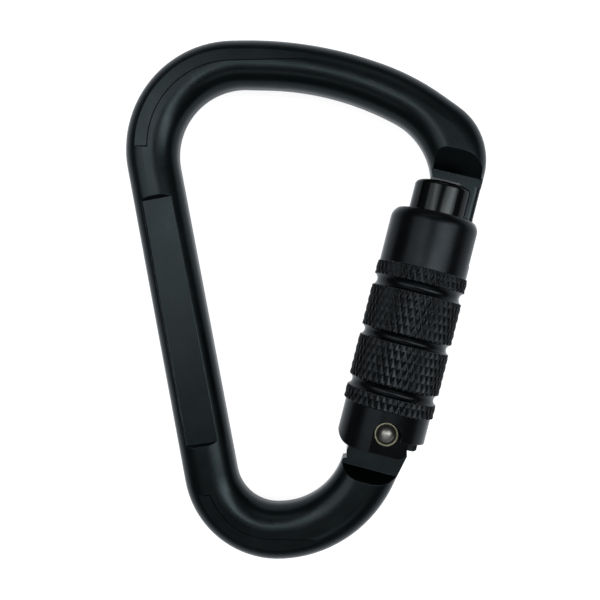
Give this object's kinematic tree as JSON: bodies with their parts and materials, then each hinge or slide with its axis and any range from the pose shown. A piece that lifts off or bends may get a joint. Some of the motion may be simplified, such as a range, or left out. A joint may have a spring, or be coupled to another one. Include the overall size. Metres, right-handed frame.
{
  "type": "locking carabiner",
  "caption": "Pear-shaped locking carabiner with a forged rod frame, a spring gate on a rivet and a knurled lift-and-twist sleeve.",
  "frame": {"origin": "middle of the whole carabiner's bounding box", "axes": "+Y along its length towards the wide end, +Z normal to its plane on the front, +X towards the gate"},
  "size_m": [0.0794, 0.1146, 0.0194],
  "materials": {
    "anodised_frame": "satin black anodised",
    "anodised_gate": "gloss black anodised",
    "anodised_sleeve": "satin black anodised",
    "rivet_steel": "polished",
    "spring_steel": "drawn wire",
    "turned_steel": "turned",
    "bronze": "plain",
    "plunger_plastic": "moulded"
  },
  "bodies": {
    "frame": {"frame": "anodised_frame", "hinge_bush": "bronze"},
    "gate": {"gate_body": "anodised_gate", "hinge_rivet": "rivet_steel", "rivet_collars": "rivet_steel", "guide_balls": "rivet_steel", "spring_seat": "turned_steel", "retaining_clip": "turned_steel", "gate_spring": "spring_steel", "sleeve_spring": "spring_steel"},
    "plunger": {"gate_plunger": "plunger_plastic"},
    "washer": {"thrust_washer": "turned_steel"},
    "sleeve": {"lock_sleeve": "anodised_sleeve", "guide_bush": "turned_steel"}
  },
  "joints": [
    {"name": "gate_hinge", "type": "hinge", "parent": "frame", "child": "gate", "pos_m": [0.01797, -0.02871, 0], "axis": [0, 0, 1], "range_deg": [0, 22], "stiffness_Nm_per_rad": 0.25, "springref_deg": -17.19},
    {"name": "plunger_slide", "type": "slide", "parent": "gate", "child": "plunger", "axis": [0.2431, 0.97, 0], "range_m": [0, 0.000634], "deforming": ["gate_spring"]},
    {"name": "sleeve_lift", "type": "slide", "parent": "gate", "child": "washer", "axis": [0.2431, 0.97, 0], "range_m": [0, 0.004], "stiffness_N_per_m": 400, "springref_m": -0.004, "deforming": ["sleeve_spring"]},
    {"name": "sleeve_twist", "type": "hinge", "parent": "washer", "child": "sleeve", "pos_m": [0.01726, -0.02905, 0], "axis": [-0.2431, -0.97, 0], "range_deg": [0, 80], "stiffness_Nm_per_rad": 0.05, "springref_deg": -28.65}
  ],
  "couplings": [
    {"joint": "plunger_slide", "follows": "gate_hinge", "m_per_rad": 0.001651}
  ]
}
